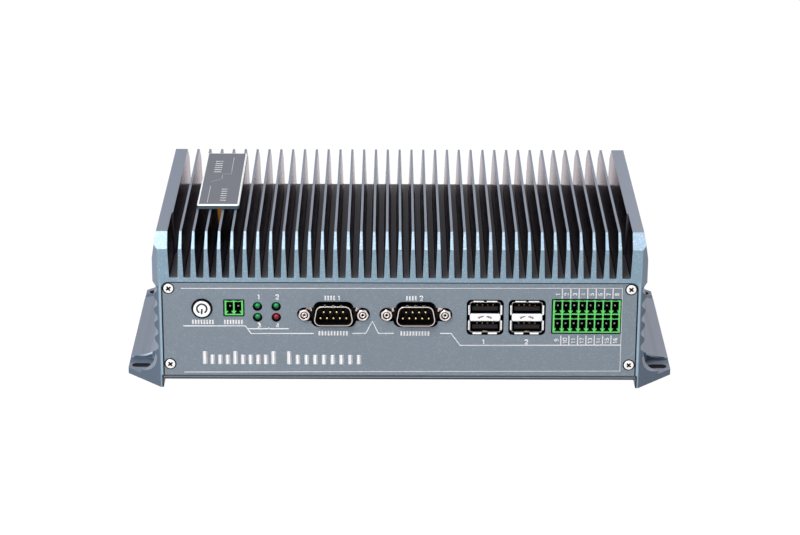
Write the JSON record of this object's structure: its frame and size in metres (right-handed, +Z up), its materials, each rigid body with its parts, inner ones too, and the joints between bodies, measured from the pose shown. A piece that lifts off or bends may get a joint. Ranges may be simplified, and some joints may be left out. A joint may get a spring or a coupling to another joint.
{
  "type": "fanless industrial computer",
  "caption": "Compact fanless computer in a finned aluminium extrusion with slotted foot flanges, serial, bus and terminal ports on its front panel and a sprung power button.",
  "frame": {"origin": "centre of the footprint, on the plane of the feet's underside", "axes": "+X to the right as seen from the front, +Y from front to rear, +Z up through the heat sink"},
  "size_m": [0.2372, 0.13, 0.0719],
  "materials": {
    "black_plastic": "black moulded plastic",
    "blue_coat": "fine sand-blasted, blue-grey anodised",
    "board_laminate": "green solder mask",
    "bright_nickel": "bright nickel plate",
    "cell_steel": "plain",
    "clip_brass": "dull spring brass",
    "gilt": "gold flash",
    "green_lens": "tinted clear dome",
    "green_plastic": "bright green moulded plastic",
    "grey_coat": "fine textured grey-blue powder coat",
    "plain_aluminium": "plain milled",
    "plate_coat": "satin dark grey with a bright bevelled edge",
    "processor_lid": "nickel plate",
    "red_lens": "tinted clear dome",
    "screw_steel": "bright zinc plate",
    "shell_tin": "tin plate",
    "soft_pad": "soft matt pad",
    "standoff_brass": "plain turned",
    "tinned_pin": "tin plate",
    "white_cap": "smooth white"
  },
  "bodies": {
    "chassis": {"board_screws": "screw_steel", "board_standoffs": "standoff_brass", "bottom_cover": "grey_coat", "bottom_cover_screws": "screw_steel", "capacitors": "plain_aluminium", "cell_holder": "black_plastic", "clock_cell": "cell_steel", "drive_screws": "screw_steel", "front_jackscrews": "bright_nickel", "front_panel": "grey_coat", "front_panel_screws": "screw_steel", "front_serial_left_body": "black_plastic", "front_serial_left_shell": "shell_tin", "front_serial_pins": "gilt", "front_serial_right_body": "black_plastic", "front_serial_right_shell": "shell_tin", "front_usb_contacts": "gilt", "front_usb_left_shell": "shell_tin", "front_usb_left_tongues": "black_plastic", "front_usb_right_shell": "shell_tin", "front_usb_right_tongues": "black_plastic", "green_lenses": "green_lens", "heat_block": "plain_aluminium", "heat_pad": "soft_pad", "housing": "blue_coat", "lan_contacts": "gilt", "lan_inserts": "black_plastic", "lan_shells": "shell_tin", "led_holder": "black_plastic", "mainboard": "board_laminate", "memory_module": "board_laminate", "memory_socket": "black_plastic", "name_plate": "plate_coat", "name_plate_clip": "clip_brass", "name_plate_pad": "soft_pad", "power_button_guide": "black_plastic", "power_switch": "black_plastic", "power_terminal_body": "green_plastic", "power_terminal_pins": "tinned_pin", "processor": "processor_lid", "rear_jackscrews": "bright_nickel", "rear_panel": "grey_coat", "rear_panel_screws": "screw_steel", "rear_power_terminal_body": "green_plastic", "rear_power_terminal_pins": "tinned_pin", "rear_serial_left_body": "black_plastic", "rear_serial_left_shell": "shell_tin", "rear_serial_pins": "gilt", "rear_serial_right_body": "black_plastic", "rear_serial_right_shell": "shell_tin", "rear_usb_contacts": "gilt", "rear_usb_shell": "shell_tin", "rear_usb_tongues": "black_plastic", "rear_video_body": "black_plastic", "rear_video_shell": "shell_tin", "red_lens": "red_lens", "signal_terminal_body": "green_plastic", "signal_terminal_pins": "tinned_pin", "solid_state_drive": "plain_aluminium"},
    "power_button": {"power_button": "white_cap"}
  },
  "joints": [
    {"name": "power_press", "type": "slide", "parent": "chassis", "child": "power_button", "axis": [0, 1, 0], "range_m": [0, 0.0008], "stiffness_N_per_m": 600}
  ]
}
